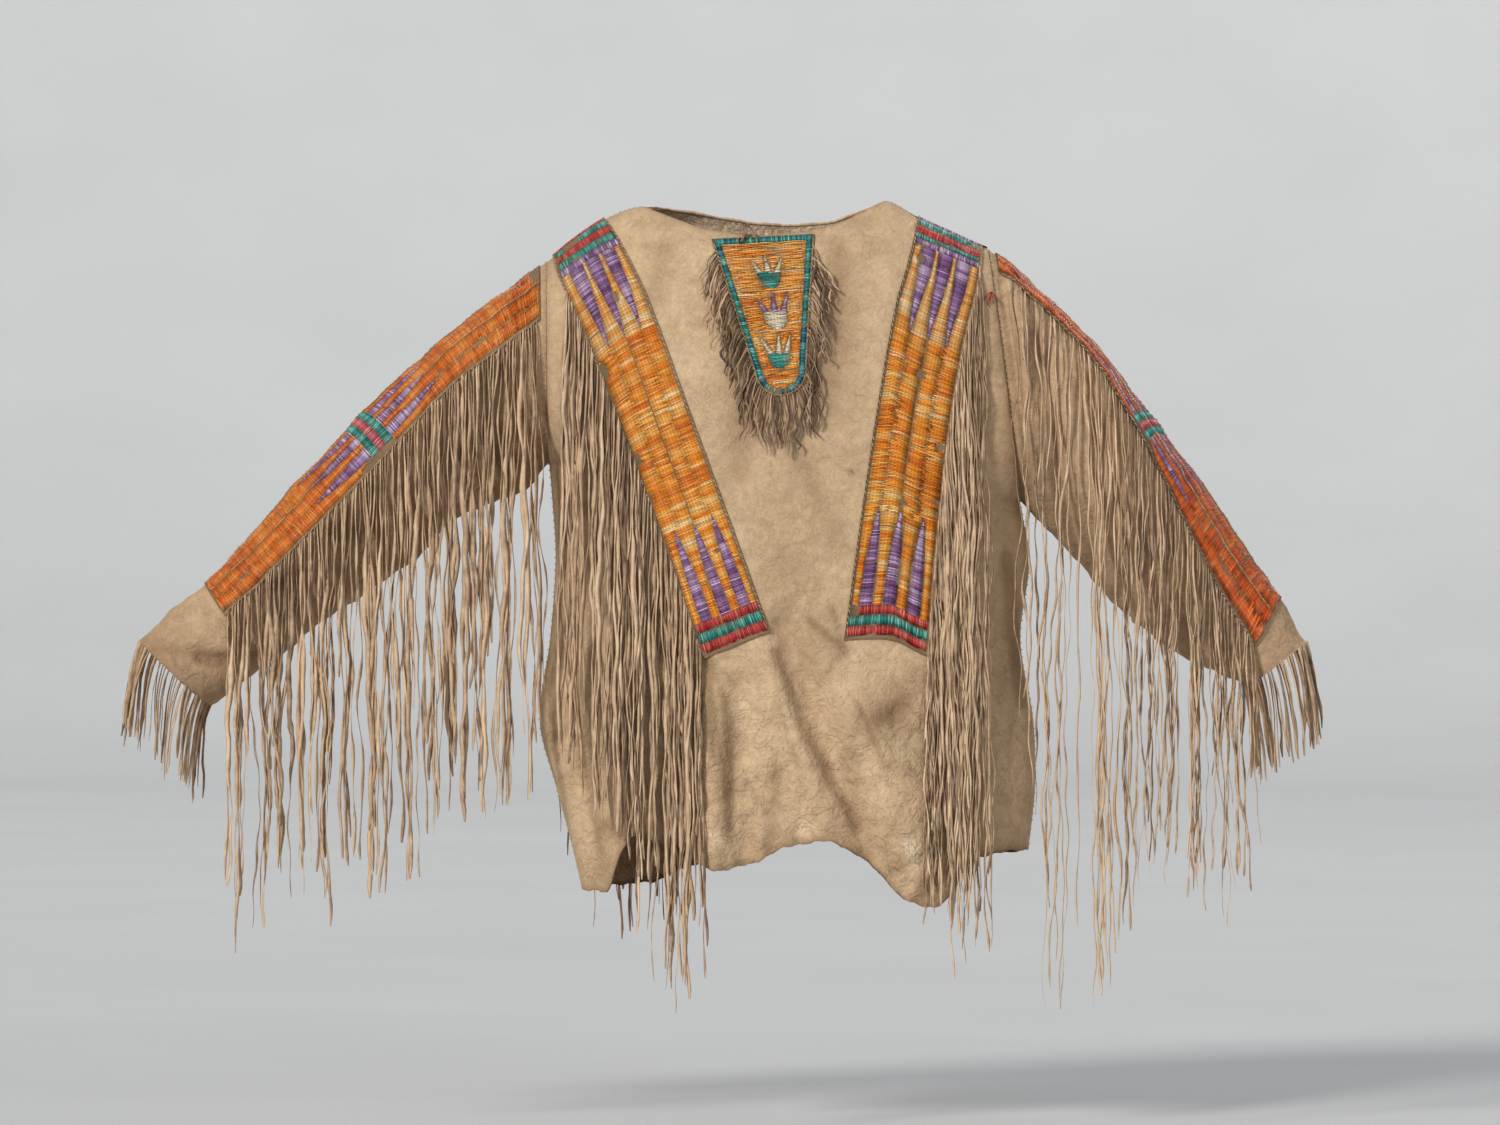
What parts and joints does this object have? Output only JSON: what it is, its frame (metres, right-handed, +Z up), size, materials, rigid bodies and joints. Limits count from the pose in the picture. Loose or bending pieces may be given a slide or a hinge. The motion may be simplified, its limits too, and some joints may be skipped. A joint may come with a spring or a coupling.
{
  "type": "war shirt",
  "caption": "Pullover hide shirt worn open at neck, hem and cuffs, with quilled shoulder and sleeve strips, a quilled bib and long cut fringes.",
  "frame": {"origin": "between the two neck corners, on the shoulder seam, where the shirt hangs on its wearer", "axes": "+X to the right of someone who faces the shirt's front, -Y out of the front, +Z up"},
  "size_m": [1.48, 0.2308, 1.0004],
  "materials": {
    "hide": "matt, napped",
    "quill": "dyed and flattened quills, satin",
    "thong": "matt, napped"
  },
  "bodies": {
    "root": {"front_hide": "hide", "back_hide": "hide", "left_sleeve": "hide", "right_sleeve": "hide", "left_shoulder_strip": "quill", "right_shoulder_strip": "quill", "left_sleeve_strip": "quill", "right_sleeve_strip": "quill", "bib": "quill", "left_chest_fringe_under": "thong", "left_chest_fringe_over": "thong", "right_chest_fringe_under": "thong", "right_chest_fringe_over": "thong", "left_back_fringe": "thong", "right_back_fringe": "thong", "left_sleeve_fringe": "thong", "right_sleeve_fringe": "thong", "left_cuff_fringe": "thong", "right_cuff_fringe": "thong", "bib_fringe": "thong"}
  },
  "joints": []
}
